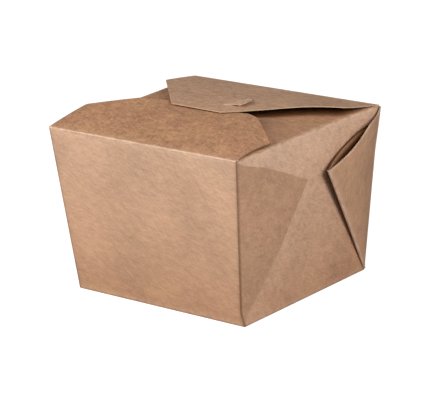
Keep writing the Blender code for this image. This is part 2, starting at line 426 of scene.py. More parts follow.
class Wiring:
    """Adds and links nodes in one tree. A number or a socket does wherever a value goes."""

    def __init__(self, tree: bpy.types.NodeTree) -> None:
        """Starts on an empty or new tree."""
        self.tree = tree

    def feed(self, socket: bpy.types.NodeSocket, value: object) -> None:
        """Links a socket to an input, or sets the input's own value."""
        if isinstance(value, Number):
            value = value.socket
        if isinstance(value, bpy.types.NodeSocket):
            self.tree.links.new(value, socket)
        else:
            socket.default_value = value

    def node(self, kind: str, settings: dict | None = None, **inputs: object) -> bpy.types.Node:
        """Adds a node.

        Args:
            kind: The node's type name.
            settings: Its properties.
            inputs: Its inputs by name, with _ for a space, or i0, i1 and so on by place.

        Returns:
            The node.
        """
        made = self.tree.nodes.new(kind)
        for key, value in (settings or {}).items():
            setattr(made, key, value)
        for key, value in inputs.items():
            by_place = key[0] == "i" and key[1:].isdigit()
            socket = made.inputs[int(key[1:])] if by_place else made.inputs[key.replace("_", " ")]
            self.feed(socket, value)
        return made

    def result(
        self, kind: str, settings: dict | None = None, out: int | str = 0, **inputs: object
    ) -> Number:
        """Adds a node and gives one of its outputs, by place or by name."""
        return Number(self, self.node(kind, settings, **inputs).outputs[out])

    def maths(self, operation: str, *values: object) -> Number:
        """One Math node's result."""
        numbered = {f"i{place}": value for place, value in enumerate(values)}
        return self.result("ShaderNodeMath", {"operation": operation}, **numbered)

    def scaled(self, vector: object, factor: object) -> Number:
        """A vector times a number."""
        return self.result("ShaderNodeVectorMath", {"operation": "SCALE"}, i0=vector, Scale=factor)

    def added(self, *vectors: object) -> object:
        """The sum of several vectors."""
        total = vectors[0]
        for vector in vectors[1:]:
            total = self.result("ShaderNodeVectorMath", {"operation": "ADD"}, i0=total, i1=vector)
        return total

    def split(self, vector: object) -> list[Number]:
        """A vector's x, y and z."""
        made = self.node("ShaderNodeSeparateXYZ", i0=vector)
        return [Number(self, socket) for socket in made.outputs]

    def joined(self, x: object, y: object, z: object = 0.0) -> Number:
        """A vector made of three numbers."""
        return self.result("ShaderNodeCombineXYZ", i0=x, i1=y, i2=z)

    def ranged(
        self, value: object, low: object, high: object, to_low: object = 0.0, to_high: object = 1.0
    ) -> Number:
        """A value carried smoothly from one range to another, and held at its ends."""
        smooth = {"interpolation_type": "SMOOTHSTEP"}
        return self.result(
            "ShaderNodeMapRange", smooth, i0=value, i1=low, i2=high, i3=to_low, i4=to_high
        )

    def mixed(self, factor: object, a: object, b: object) -> Number:
        """A colour between a and b."""
        return self.result("ShaderNodeMix", {"data_type": "RGBA"}, 2, i0=factor, i6=a, i7=b)

    def painted(self, name: str) -> Number:
        """A number painted on the mesh."""
        return self.result("ShaderNodeAttribute", {"attribute_name": name}, "Fac")

    def effect(self, tree: bpy.types.NodeTree, **inputs: object) -> dict[str, Number]:
        """Adds a shared effect.

        Args:
            tree: The effect's node group.
            inputs: Its inputs by name, with _ for a space.

        Returns:
            What the effect puts out, by name.
        """
        made = self.node("ShaderNodeGroup", {"node_tree": tree}, **inputs)
        return {socket.name: Number(self, socket) for socket in made.outputs}


SOCKET_KINDS = {
    float: "NodeSocketFloat",
    int: "NodeSocketInt",
    Vector: "NodeSocketVector",
    type(None): "NodeSocketGeometry",
}


class Group:
    """A node group under construction, with named inputs and outputs."""

    def __init__(self, name: str, kind: str) -> None:
        """Starts an empty group.

        Args:
            name: The group's name.
            kind: The type of node tree.
        """
        self.tree = bpy.data.node_groups.new(name, kind)
        self.wire = Wiring(self.tree)
        self.start = self.tree.nodes.new("NodeGroupInput")
        self.end = self.tree.nodes.new("NodeGroupOutput")

    def takes(self, **values: object) -> None:
        """Adds inputs with their usual values, None for geometry. An underscore stands for a space."""
        for name, value in values.items():
            kind = SOCKET_KINDS[type(value)]
            name = name.replace("_", " ")
            socket = self.tree.interface.new_socket(name, in_out="INPUT", socket_type=kind)
            if value is not None:
                socket.default_value = value

    def given(self, name: str) -> Number:
        """What comes in at a named input."""
        return Number(self.wire, self.start.outputs[name])

    def gives(self, name: str, value: object, kind: str = "NodeSocketFloat") -> None:
        """Adds a named output and feeds it."""
        self.tree.interface.new_socket(name, in_out="OUTPUT", socket_type=kind)
        self.wire.feed(self.end.inputs[name], value)


def mottle_group() -> bpy.types.NodeTree:
    """Cloudy tone of uncoated board: broad clouds, small clouds and a fine grain, each about 0."""
    group = Group("board_mottle", "ShaderNodeTree")
    group.takes(Place=Vector(), Cloud_Size=30 * MM, Speck_Size=4 * MM, Grain_Size=0.8 * MM)
    wire = group.wire
    for name, size, detail in (
        ("Clouds", "Cloud Size", 3.0),
        ("Specks", "Speck Size", 3.0),
        ("Grain", "Grain Size", 2.0),
    ):
        scale = 1.0 / group.given(size)
        place = group.given("Place")
        cloud = wire.result("ShaderNodeTexNoise", Vector=place, Scale=scale, Detail=detail)
        group.gives(name, cloud - 0.5)
    return group.tree


def fibre_group() -> bpy.types.NodeTree:
    """Fibres in the board: single short strokes, and soft streaks that run the same way."""
    group = Group("board_fibres", "ShaderNodeTree")
    group.takes(Flat=Vector(), Length=4.2 * MM, Width=0.7 * MM, Turn=0.2, Seed=0.0)
    group.takes(Curl=2.5, Curl_Scale=140.0)
    wire, given = group.wire, group.given
    z_axis = {"rotation_type": "Z_AXIS"}
    turned = wire.result("ShaderNodeVectorRotate", z_axis, Vector=given("Flat"), Angle=given("Turn"))
    along, across, _ = wire.split(turned)
    waves = {"Vector": given("Flat"), "Scale": given("Curl Scale"), "Detail": 1.0}
    bend = wire.result("ShaderNodeTexNoise", **waves)
    curled = across / given("Width") + bend * given("Curl")
    place = wire.joined(along / given("Length"), curled, given("Seed"))
    cells = wire.node("ShaderNodeTexVoronoi", Vector=place, Scale=1.0)
    stroke = wire.ranged(cells.outputs["Distance"], 0.05, 0.42, 1.0, 0.0)
    chance = wire.split(cells.outputs["Color"])[0]
    soft = wire.result("ShaderNodeTexNoise", Vector=place, Scale=0.6, Detail=1.0)
    group.gives("Fibres", stroke * wire.ranged(chance, 0.35, 1.0))
    group.gives("Streaks", soft - 0.5)
    return group.tree


def fold_wear_and_highlight_group() -> bpy.types.NodeTree:
    """Where a fold is rubbed or carries a painted highlight: the painted value, broken up by a fine noise.
    """
    group = Group("fold_wear_and_highlight", "ShaderNodeTree")
    group.takes(Place=Vector(), Worn=0.0, Patch_Size=3 * MM)
    wire, place = group.wire, group.given("Place")
    scale = 1.0 / group.given("Patch Size")
    rub = wire.result("ShaderNodeTexNoise", Vector=place, Scale=scale, Detail=4.0)
    group.gives("Wear", group.given("Worn") * wire.ranged(rub, 0.3, 0.7, 0.35, 1.0))
    return group.tree


def new_material(name: str) -> tuple[bpy.types.Material, Wiring, bpy.types.Node]:
    """A new material, the wiring of its nodes, and its Principled BSDF."""
    material = bpy.data.materials.new(name)
    material.use_nodes = True
    wire = Wiring(material.node_tree)
    return material, wire, material.node_tree.nodes["Principled BSDF"]


@dataclass(frozen=True)
class KraftFinish:
    """Uncoated brown board, of two tones that a paler painted sheen covers.

    Attributes:
        pale: The palest fibres.
        deep: The darkest fibres.
        worn: The rubbed folds and the painted highlights on folds and rims.
        crushed_and_shaded: The bottom of a score line, and the colour of all painted shade.
        blotch_size: Size of the areas that are ruddy or golden.
        blotch_shift: How far their pattern is moved from that of the clouds.
        fibre_turns: Turn and seed of the pale fibres and of two sets of dark ones.
        streak_relief: Share of the streaks in the relief.
    """

    name: str
    ruddy: tuple[float, float, float, float]
    golden: tuple[float, float, float, float]
    painted_sheen: tuple[float, float, float, float]
    pale: tuple[float, float, float, float]
    deep: tuple[float, float, float, float]
    worn: tuple[float, float, float, float]
    crushed_and_shaded: tuple[float, float, float, float]
    roughness: float = 0.62
    cloud_strength: float = 0.5
    speck_strength: float = 0.2
    grain_strength: float = 0.25
    streak_strength: float = 0.15
    fibre_strength: float = 0.16
    wear_and_highlight_strength: float = 0.8
    blotch_size: float = 12 * MM
    blotch_shift: tuple[float, float, float] = (0.31, 0.17, 0.09)
    fibre_turns: Sequence[tuple[float, float]] = ((0.55, 3.1), (0.1, 11.7), (1.2, 23.9))
    rough_variation: float = 0.25
    streak_relief: float = 0.15
    bump_height: float = 0.55 * MM

    def material(self, groups: "Effects") -> bpy.types.Material:
        """Builds the material.

        Args:
            groups: The shared effects.

        Returns:
            The material, with its colour, roughness and bump from nodes.
        """
        material, wire, shader = new_material(self.name)
        place = wire.result("ShaderNodeTexCoord", out="Object")
        flat = wire.result("ShaderNodeUVMap", {"uv_map": FLAT_MAP})
        coarse = wire.painted(GRIT) + 1.0
        mottle = wire.effect(groups.mottle, Place=place)
        shifted = wire.added(place, self.blotch_shift)
        blotch = wire.effect(groups.mottle, Place=shifted, Cloud_Size=self.blotch_size)
        light, dark, crossing = (
            wire.effect(groups.fibres, Flat=flat, Turn=turn, Seed=seed)
            for turn, seed in self.fibre_turns
        )
        streaks = light["Streaks"] + dark["Streaks"] + crossing["Streaks"]
        fine = mottle["Specks"] * self.speck_strength + mottle["Grain"] * self.grain_strength
        fine = fine + streaks * self.streak_strength
        brightness = mottle["Clouds"] * self.cloud_strength + fine * coarse + 1.0
        fibre_share = coarse * self.fibre_strength
        hue = wire.ranged(blotch["Clouds"], -0.15, 0.15)
        colour = wire.mixed(hue, self.ruddy, self.golden)
        # Painted sheen pales the colour where it is painted.
        colour = wire.scaled(wire.mixed(wire.painted(PAINTED_SHEEN), colour, self.painted_sheen), brightness)
        colour = wire.mixed(light["Fibres"] * fibre_share, colour, self.pale)
        fibres = wire.maths("MAXIMUM", dark["Fibres"], crossing["Fibres"])
        colour = wire.mixed(fibres * fibre_share, colour, self.deep)
        # Rubbed folds and painted highlights pale the colour.
        wear = wire.effect(groups.wear, Place=place, Worn=wire.painted(WEAR_AND_HIGHLIGHT))["Wear"]
        colour = wire.mixed(wear * self.wear_and_highlight_strength, colour, self.worn)
        # Painted shade, and crushed score lines, darken the colour.
        colour = wire.mixed(wire.painted(CREASE_AND_SHADE), colour, self.crushed_and_shaded)
        wire.feed(shader.inputs["Base Color"], colour)
        rough = mottle["Specks"] * self.rough_variation + self.roughness
        wire.feed(shader.inputs["Roughness"], rough)
        relief = streaks * self.streak_relief + mottle["Specks"]
        bump = wire.result("ShaderNodeBump", Distance=self.bump_height, Height=relief)
        wire.feed(shader.inputs["Normal"], bump)
        return material


@dataclass(frozen=True)
class CutEdgeFinish:
    """The pale, layered edge of cut board."""

    name: str
    base: tuple[float, float, float, float]
    layer: tuple[float, float, float, float]
    crushed_and_shaded: tuple[float, float, float, float]
    roughness: float = 0.85
    layer_size: float = 1.5 * MM
    layer_contrast: float = 1.4
    rough_variation: float = 0.2
    bump: float = 0.3
    bump_height: float = 0.05 * MM

    def material(self, groups: "Effects") -> bpy.types.Material:
        """Builds the material.

        Args:
            groups: The shared effects.

        Returns:
            The material.
        """
        material, wire, shader = new_material(self.name)
        place = wire.result("ShaderNodeTexCoord", out="Object")
        mottle = wire.effect(groups.mottle, Place=place, Speck_Size=self.layer_size)
        share = mottle["Specks"] * self.layer_contrast + 0.5
        colour = wire.mixed(share, self.layer, self.base)
        # Painted shade darkens the cut edges as well.
        colour = wire.mixed(wire.painted(CREASE_AND_SHADE), colour, self.crushed_and_shaded)
        wire.feed(shader.inputs["Base Color"], colour)
        rough = mottle["Grain"] * self.rough_variation + self.roughness
        wire.feed(shader.inputs["Roughness"], rough)
        relief = {"Strength": self.bump, "Distance": self.bump_height, "Height": mottle["Grain"]}
        wire.feed(shader.inputs["Normal"], wire.result("ShaderNodeBump", **relief))
        return material


@dataclass(frozen=True)
class Effects:
    """The node groups that the finishes share."""

    mottle: bpy.types.NodeTree
    fibres: bpy.types.NodeTree
    wear: bpy.types.NodeTree


KRAFT_FACE = KraftFinish(
    name="kraft_face",
    ruddy=(0.43, 0.214, 0.12, 1.0),
    golden=(0.434, 0.231, 0.12, 1.0),
    painted_sheen=(0.627, 0.402, 0.275, 1.0),
    pale=(0.66, 0.43, 0.28, 1.0),
    deep=(0.27, 0.135, 0.07, 1.0),
    worn=(0.74, 0.52, 0.38, 1.0),
    crushed_and_shaded=(0.12, 0.04, 0.004, 1.0),
)
KRAFT_EDGE = CutEdgeFinish(
    name="kraft_cut_edge",
    base=(0.57, 0.395, 0.255, 1.0),
    layer=(0.43, 0.28, 0.17, 1.0),
    crushed_and_shaded=(0.12, 0.04, 0.004, 1.0),
)


def bend(start: Vector, corner: Vector, end: Vector, t: float) -> Vector:
    """A point on the curve from start to end that rounds a corner, at a share of its length."""
    return start * (1 - t) ** 2 + corner * 2 * t * (1 - t) + end * t * t


def rounded_outline(
    corners: Sequence[tuple[float, float]], radius: float, steps: int
) -> list[tuple[float, float]]:
    """A flap's outline with its die-cut corners rounded.

    Args:
        corners: Half widths and distances from the hinge, from the hinge to the end.
        radius: How far from each corner the rounding starts.
        steps: Pieces in each rounding.

    Returns:
        The outline from the hinge to the end, ending inside the last corner.
    """
    path = [Vector(corner) for corner in corners]
    path.append(Vector((0.0, corners[-1][1])))
    outline = [path[0]]
    for before, at, after in zip(path, path[1:], path[2:]):
        start = at + (before - at).normalized() * radius
        end = at + (after - at).normalized() * radius
        outline += [bend(start, at, end, i / steps) for i in range(steps + 1)]
    return [(point.x, point.y) for point in outline]


def half_at(corners: Sequence[tuple[float, float]], out: float) -> float:
    """Half the width of a die-cut outline at a distance from its hinge, or less than 0 past its end."""
    for (half, start), (next_half, end) in zip(corners, corners[1:]):
        if start <= out <= end:
            return lerp(half, next_half, (out - start) / (end - start))
    return -1.0


@dataclass
class LidFlap:
    """A lid flap that rises from its fold on the front or back wall.

    Attributes:
        form: The carton's shared sizes.
        end: -1 for the front flap and 1 for the back one.
        corners: Half width and distance from the hinge at each corner of the die-cut outline.
        height: Height of the upper face over a point, from x and the distance from the hinge.
        columns: Where the columns run, from -1 to 1, the same as on its wall.
    """

    form: CartonForm
    end: int
    corners: Sequence[tuple[float, float]]
    height: Callable[[float, float], float]
    columns: Sequence[float]
    hinge_inset: float = 0.4 * MM
    fold_reach: float = 0.79 * MM
    fold_steps: int = 6
    corner_radius: float = 1.2 * MM
    corner_steps: int = 3
    row_step: float = 2.5 * MM
    wear_and_highlight_span: tuple[float, float] = (0.15, 0.85)
    hinge_wear_and_highlight: float = 0.45
    hinge_wear_fade: float = 1.5 * MM
    back_map_shift: float = 0.3
    tone: float = 0.0
    grit: float = 1.0
    edge_shade: float = 0.0

    def outline(self) -> list[tuple[float, float]]:
        """The outline with rows added so that no step is long."""
        hinge = (self.form.top_width / 2 - self.hinge_inset, 0.0)
        rounded = rounded_outline([hinge, *self.corners], self.corner_radius, self.corner_steps)
        path = [rounded[0]]
        for start, end in zip(rounded, rounded[1:]):
            count = max(1, math.ceil((end[1] - start[1]) / self.row_step))
            for i in range(1, count + 1):
                t = i / count
                path.append((lerp(start[0], end[0], t), lerp(start[1], end[1], t)))
        return path

    def on_top(self, x: float, out: float) -> Vector:
        """A point on the flap's upper face."""
        y = self.end * (self.form.top_depth / 2 - self.hinge_inset - out)
        return Vector((x, y, self.height(x, out)))

    def patch(self, wall_top: Sequence[Vector]) -> Patch:
        """The fold and the flap, starting on the wall's last row.

        Args:
            wall_top: The wall's top row of points, one for each column.

        Returns:
            The patch.
        """
        form = self.form
        patch = Patch(lambda place: self.tone, lambda place: self.grit)
        outline = self.outline()
        hinge = outline[0][0]
        for step in range(self.fold_steps + 1):
            t = step / self.fold_steps
            row = []
            for share, start in zip(self.columns, wall_top):
                x = share * hinge
                corner = Vector((x, self.end * form.top_depth / 2, form.height))
                finish = self.on_top(x, self.fold_reach - self.hinge_inset)
                row.append(bend(start, corner, finish, t))
            flats = [self.flat(point.x, t * FOLD_WIDTH) for point in row]
            # Painted highlight, with some rubbing, along the lid's fold.
            patch.add(row, flats, math.sin(math.pi * lerp(*self.wear_and_highlight_span, t)))
        on_edge = [self.edge_shade * (abs(share) > 1 - 1e-9) for share in self.columns]
        outer = [(half, out) for half, out in outline if out > 2 * self.fold_reach]
        for half, out in [(hinge, self.fold_reach), *outer]:
            row = [self.on_top(share * half, out) for share in self.columns]
            flats = [self.flat(share * half, FOLD_WIDTH + out) for share in self.columns]
            wear = self.hinge_wear_and_highlight * math.exp(-out / self.hinge_wear_fade)
            patch.add(row, flats, wear, on_edge if out > self.fold_reach else 0.0)
        return patch

    def flat(self, x: float, past_wall: float) -> tuple[float, float]:
        """Where a point lies on the flat board, with the back flap apart from the front one."""
        return (self.back_map_shift - x if self.end > 0 else x, self.form.height + past_wall)


@dataclass
class FrontFlap:
    """How the front lid flap lies: it rises from its fold, droops at the right and dishes."""

    form: CartonForm
    corners: Sequence[tuple[float, float]] = (
        (57.7 * MM, 26.6 * MM),
        (37.7 * MM, 42.9 * MM),
        (27.6 * MM, 48.3 * MM),
    )
    slope: float = 0.235
    curve: float = 1.6
    droop: float = 3.85 * MM
    droop_from: float = 33 * MM
    dish: float = 1.1 * MM
    dish_half: float = 36 * MM

    def height(self, x: float, out: float) -> float:
        """Height of the upper face, out being the distance from the hinge."""
        (shoulder_x, shoulder_out), (_, elbow_out), _ = self.corners
        rise = self.slope * out - self.curve * out**2
        along = min(1.0, max(0.0, out) / shoulder_out) ** 2
        across = max(0.0, (x - self.droop_from) / (shoulder_x - self.droop_from)) ** 2
        dish = self.dish * max(0.0, 1 - (x / self.dish_half) ** 4) * (out / elbow_out) ** 3
        return self.form.height + rise - self.droop * along * across - dish


@dataclass
class BackFlap:
    """How the back lid flap lies: it rises over the front one and curls at its right shoulder."""

    form: CartonForm
    corners: Sequence[tuple[float, float]] = ((57.5 * MM, 25.0 * MM), (15.6 * MM, 70.0 * MM))
    slope: float = 0.16
    curve: float = 0.88
    tilt: float = 0.17 * MM
    end_lift: float = 0.55 * MM
    curl: float = 2.3 * MM
    curl_growth: float = 1.5
    curl_at: float = 42 * MM
    curl_reach: float = 18 * MM

    def height(self, x: float, out: float) -> float:
        """Height of the upper face, out being the distance from the hinge."""
        (shoulder_x, _), (end_x, end_out) = self.corners
        rise = self.slope * out - self.curve * out**2
        tilt = self.tilt * x / end_x * (out / end_out) ** 4
        lift = self.end_lift * (out / end_out) ** 2
        across = max(0.0, x / shoulder_x) ** self.curl_growth
        along = math.exp(-(((out - self.curl_at) / self.curl_reach) ** 2))
        return self.form.height + rise - tilt + lift + self.curl * across * along


@dataclass
class Blank:
    """The one sheet that makes the tub, its base, the lid flaps and the side flaps."""

    form: CartonForm
    name: str = "folded_blank"
    wall_steps: int = 44
    row_steps: int = 36
    near_fold: Sequence[float] = (0.012, 0.03, 0.06)
    near_end: Sequence[float] = (0.008, 0.02, 0.045)
    notch_step: float = 0.01
    corner_steps: int = 6
    base_steps: int = 5
    base_rings: Sequence[float] = (1.0, 0.985, 0.95, 0.88, 0.78, 0.66, 0.52, 0.38, 0.24, 0.1, 0.0)
    wall_top: float = 84.21 * MM
    free_top: float = 84.9 * MM
    side_flap_half: float = 54.6 * MM
    side_flap_reach: float = 56 * MM
    side_flap_taper: float = 7 * MM
    side_flap_taper_end: float = 0.3
    side_flap_rise: tuple[float, float] = (8 * MM, 2.0 * MM)
    side_flap_rise_over: float = 12 * MM
    side_flap_turn: tuple[float, float] = (-32 * MM, 8 * MM)
    side_flap_clearance: float = 1.3 * MM
    side_flap_steps: int = 34
    side_fold_reach: float = 1.0 * MM
    side_fold_steps: int = 6
    side_fold_wear: float = 0.3
    side_map_shift: float = 0.5
    base_map_shift: float = 0.2
    # Painted shade, with some crushed board, along the upright corner folds, fading away from them.
    corner_crease_and_shade: float = 0.76
    crease_shade_fade: float = 0.6 * MM
    crease_shade_on_side: float = 0.4
    crease_shade_on_end: float = 0.45
    crease_shade_turn: float = 0.3
    base_wear: float = 0.25
    row_wear_and_highlight: float = 0.6
    row_wear_fade: float = 1.2 * MM
    slot_shade: float = 0.85
    slot_span: tuple[float, float] = (0.5 * MM, 6 * MM)
    slot_depth: float = 8 * MM
    slot_corner: tuple[float, float] = (1 * MM, 3 * MM)
    slot_foot: tuple[float, float] = (6 * MM, 16 * MM)
    slot_rim: tuple[float, float] = (3.5 * MM, 8 * MM)
    under_shade: float = 0.93
    under_span: tuple[float, float] = (-1.6 * MM, 6 * MM)
    under_lid: float = 0.02 * MM
    warp: float = 0.12 * MM
    warp_size: float = 38 * MM
    warp_shift: tuple[float, float, float] = (3.7, 1.3, 8.1)
    tone: PanelTone = PanelTone()

    def columns(self, edge: float | None = None) -> list[float]:
        """Where a wall's columns run, from -1 to 1, with two more where a side flap ends."""
        values = spread(-1.0, 1.0, self.wall_steps, self.near_fold)
        if edge is not None:
            step = self.notch_step
            values = [value for value in values if abs(abs(value) - edge) > 1.5 * step]
            values += [-edge - step, -edge, edge, edge + step]
        return sorted(values)

    def side_edge(self) -> float:
        """Where a side flap ends on its wall, as a share of the wall's half length."""
        reach = self.form.half_depth(self.wall_top) - self.form.fold_radius
        return round(self.side_flap_half / reach, 6)

    def waviness(self, x: float, y: float, z: float) -> float:
        """A slight unevenness of the board, always inward and none at the folds."""
        up = math.sin(math.pi * min(1.0, max(0.0, z / self.form.height)))
        place = Vector((x, y, z)) / self.warp_size + Vector(self.warp_shift)
        return -self.warp * up * (0.5 + 0.5 * noise.noise(place))

    def on_wall(self, share: float, side: int, end: int, z: float) -> tuple[Vector, Vector]:
        """A place on a wall's outer line.

        Args:
            share: Where on the wall, from -1 to 1.
            side: 1 for the right wall, -1 for the left one and 0 for the others.
            end: 1 for the back wall, -1 for the front one and 0 for the others.
            z: Height that the plan is taken at.

        Returns:
            The place, at that height, and the way that the wall faces.
        """
        form, radius = self.form, self.form.fold_radius
        depth = form.half_depth(z)
        if side:
            y = share * (depth - radius) * side
            x = side * form.wall_x(side, y, z)
        else:
            y = end * depth
            near_side = 1 if share * -end > 0 else -1
            x = share * -end * (form.wall_x(near_side, end * (depth - radius), z) - radius)
        way = Vector((side, end, 0))
        ease = min(1.0, 6 * (1 - share**2))
        return Vector((x, y, z)) + way * self.waviness(x, y, z) * ease, way

    def perimeter(self, z: float, plan_z: float | None = None) -> list[Column]:
        """The tub's outer line at a height, round from the front left corner.

        Args:
            z: Height of the points.
            plan_z: Height that the plan is taken at, where it isn't z.

        Returns:
            The columns.
        """
        plan_z = z if plan_z is None else plan_z
        radius = self.form.fold_radius
        depth = self.form.half_depth(plan_z)
        edge = self.side_edge()
        plain, notched = self.columns(), self.columns(edge)
        walls = ((0, -1, plain), (1, 0, notched), (0, 1, plain), (-1, 0, notched))
        line = []
        for index, (side, end, columns) in enumerate(walls):
            for share in columns:
                point, way = self.on_wall(share, side, end, plan_z)
                # Painted shade along the corner folds, with some crushed board.
                fade = math.exp(-(1 - abs(share)) * (depth - radius) / self.crease_shade_fade)
                crease = self.corner_crease_and_shade * (self.crease_shade_on_side if side else self.crease_shade_on_end)
                folded = not side or abs(share) <= edge + 1e-9
                line.append(Column(point, way, crease * fade, index if folded else None))
            next_side, next_end, _ = walls[(index + 1) % 4]
            next_way = Vector((next_side, next_end, 0))
            centre = point - way * radius
            for step in range(1, self.corner_steps):
                angle = math.pi / 2 * step / self.corner_steps
                turned = way * math.cos(angle) + next_way * math.sin(angle)
                crease = self.corner_crease_and_shade * (1 - self.crease_shade_turn * turned.x**4)
                line.append(Column(centre + turned * radius, turned, crease))
        line = [replace(column, point=Vector((*column.point.xy, z))) for column in line]
        return [*line, line[0]]

    def behind_web(self, place: Vector) -> float:
        """The painted shadow on the wall at a place in the slot behind the sprung web's fold."""
        web = SprungWeb(self.form)
        foot, upward, across, outward = self.form.corner_axes(web.corner)
        arm = place - foot
        if abs(arm.dot(outward)) > self.slot_depth:
            return 0.0
        inward = smoothstep(*self.slot_corner, arm.dot(across))
        angle = math.atan2(arm.dot(across), arm.dot(upward))
        behind = smoothstep(*self.slot_span, (web.angle - angle) * arm.length)
        low = smoothstep(*self.slot_foot, arm.length)
        high = smoothstep(*self.slot_rim, web.edge.reach(angle) - arm.length)
        return self.slot_shade * inward * behind * low * high

    def walls(self) -> Patch:
        """The four walls with rounded corners, from the base fold up to the top folds."""
        form = self.form
        radius = form.fold_radius
        patch = Patch(
            lambda place: self.tone.wall(form, place), lambda place: self.tone.grit(form, place)
        )

        def add(row: Sequence[Column], worn: float, v: float) -> None:
            """Adds one row of columns, all as rubbed and highlighted and at one height on the flat board.
            """
            run = 0.0
            flats = [(run, v)]
            for before, column in zip(row, row[1:]):
                run += (column.point - before.point).length
                flats.append((run, v))
            # Painted shade along the corners, and the painted shadow in the slot behind the sprung web.
            crease = [max(column.crease, self.behind_web(column.point)) for column in row]
            patch.add([column.point for column in row], flats, worn, crease)

        for step in range(self.base_steps + 1):
            angle = math.pi / 2 * (1 - step / self.base_steps)
            z = radius * (1 - math.sin(angle))
            inset = radius * (1 - math.cos(angle))
            line = self.perimeter(z, radius)
            row = [replace(column, point=column.point - column.way * inset) for column in line]
            add(row, self.base_wear * math.sin(math.pi * step / self.base_steps), z)
        tops = [self.free_top if column.flap is None else self.wall_top for column in line]
        for share in spread(0.0, 1.0, self.row_steps, self.near_end)[1:]:
            lines = {top: self.perimeter(lerp(radius, top, share)) for top in set(tops)}
            row = [lines[top][index] for index, top in enumerate(tops)]
            z = lerp(radius, self.wall_top, share)
            near = min(z - radius, self.wall_top - z)
            # Rubbing and a painted highlight near the base and top folds.
            add(row, self.row_wear_and_highlight * math.exp(-near / self.row_wear_fade), z)
        return patch

    def base(self, rim: Sequence[Vector]) -> Patch:
        """The flat base inside the base folds, as rings that close at the middle."""
        patch = Patch(lambda place: self.tone.front_foot)
        for share in reversed(self.base_rings):
            row = [Vector((p.x * share, p.y * share, 0.0)) for p in rim]
            patch.add(row, [(p.x, p.y - self.base_map_shift) for p in row])
        return patch

    def side_flap_height(self, x: float, y: float, out: float) -> float:
        """Height of a side flap's upper face: it springs up until the lid flaps hold it down.

        Args:
            x: Where on the carton's width.
            y: Where on its depth.
            out: Distance from the flap's fold.

        Returns:
            The height in metres.
        """
        form = self.form
        rise = lerp(*self.side_flap_rise, smoothstep(*self.side_flap_turn, y))
        free = form.height + rise * (1 - math.exp(-((out / self.side_flap_rise_over) ** 2)))
        edge = form.top_depth / 2
        ceiling = min(FrontFlap(form).height(x, edge + y), BackFlap(form).height(x, edge - y))
        return max(form.height - self.under_lid, min(free, ceiling - self.side_flap_clearance))

    def covered(self, x: float, y: float) -> float:
        """How deep under a lid flap a place on a side flap is, from 0 in the open to 1."""
        form = self.form
        depth = 0.0
        for flap, end in ((FrontFlap(form), 1), (BackFlap(form), -1)):
            corners = [(form.top_width / 2, 0.0), *flap.corners]
            inside = half_at(corners, form.top_depth / 2 + end * y) - abs(x)
            depth = max(depth, smoothstep(*self.under_span, inside))
        return depth

    def side_flap(self, side: int, wall_top: Sequence[Vector]) -> Patch:
        """A side flap, folded in over the tub from its wall.

        Args:
            side: 1 for the right flap and -1 for the left one.
            wall_top: The points of the wall's top row that the flap folds from.

        Returns:
            The patch.
        """
        form, reach, fold = self.form, self.side_flap_reach, self.side_fold_reach
        patch = Patch(lambda place: self.tone.side_lid)
        half = abs(wall_top[0].y)
        hinge = [form.wall_x(side, start.y, form.height) for start in wall_top]

        def add(row: Sequence[Vector], out: float, wear: float, crease: Sequence[float]) -> None:
            """Adds one row, at a distance from the wall's top on the flat board."""
            flats = [(p.y + self.side_map_shift * side, form.height + out) for p in row]
            patch.add(row, flats, wear, crease)

        for step in range(self.side_fold_steps + 1):
            t = step / self.side_fold_steps
            row = []
            for start, x in zip(wall_top, hinge):
                corner = Vector((side * x, start.y, form.height))
                finish = Vector((side * (x - fold), start.y, form.height - self.under_lid))
                row.append(bend(start, corner, finish, t))
            wear = self.side_fold_wear * math.sin(math.pi * lerp(*LidFlap.wear_and_highlight_span, t))
            add(row, t * FOLD_WIDTH, wear, [0.0] * len(row))
        for out in spread(fold, reach, self.side_flap_steps)[1:]:
            taper = self.side_flap_taper * smoothstep(0.0, 0.4 * reach, out)
            taper += self.side_flap_taper_end * half * smoothstep(0.45 * reach, reach, out)
            row = []
            for start, x in zip(wall_top, hinge):
                place = side * (x - out)
                y = start.y * (1 - taper / half * abs(start.y) / half)
                row.append(Vector((place, y, self.side_flap_height(place, y, out))))
            crease = [self.under_shade * self.covered(p.x, p.y) for p in row]
            add(row, FOLD_WIDTH + out, 0.0, crease)
        return patch

    def build(self, materials: Sequence[bpy.types.Material]) -> bpy.types.Object:
        """Makes the whole sheet as one mesh.

        Args:
            materials: The face and the cut edge.

        Returns:
            The finished piece.
        """
        form = self.form
        walls = self.walls()
        top = list(zip(walls.border(-1), self.perimeter(self.wall_top)[:-1]))
        front, right, back, left = (
            [point for point, column in top if column.flap == index] for index in range(4)
        )
        lids = FrontFlap(form), BackFlap(form)
        plain = self.columns()
        turned = [-value for value in plain]
        front_flap = LidFlap(form, -1, lids[0].corners, lids[0].height, plain, **self.front_finish())
        back_flap = LidFlap(
            form, 1, lids[1].corners, lids[1].height, turned, tone=self.tone.back_lid
        )
        patches = [
            self.base(walls.border(0)),
            walls,
            front_flap.patch(front),
            back_flap.patch(back),
            self.side_flap(1, right),
            self.side_flap(-1, left),
        ]
        bm = turned_out(board_mesh(patches), Vector((0, 0, -1)))
        return board_object(self.name, bm, materials, form.board)

    def front_finish(self) -> dict[str, float]:
        """The front flap's own corners and tones."""
        return {
            "corner_radius": 0.7 * MM,
            "tone": self.tone.front_lid,
            "grit": self.tone.front_lid_grit,
            "edge_shade": 0.75,
        }


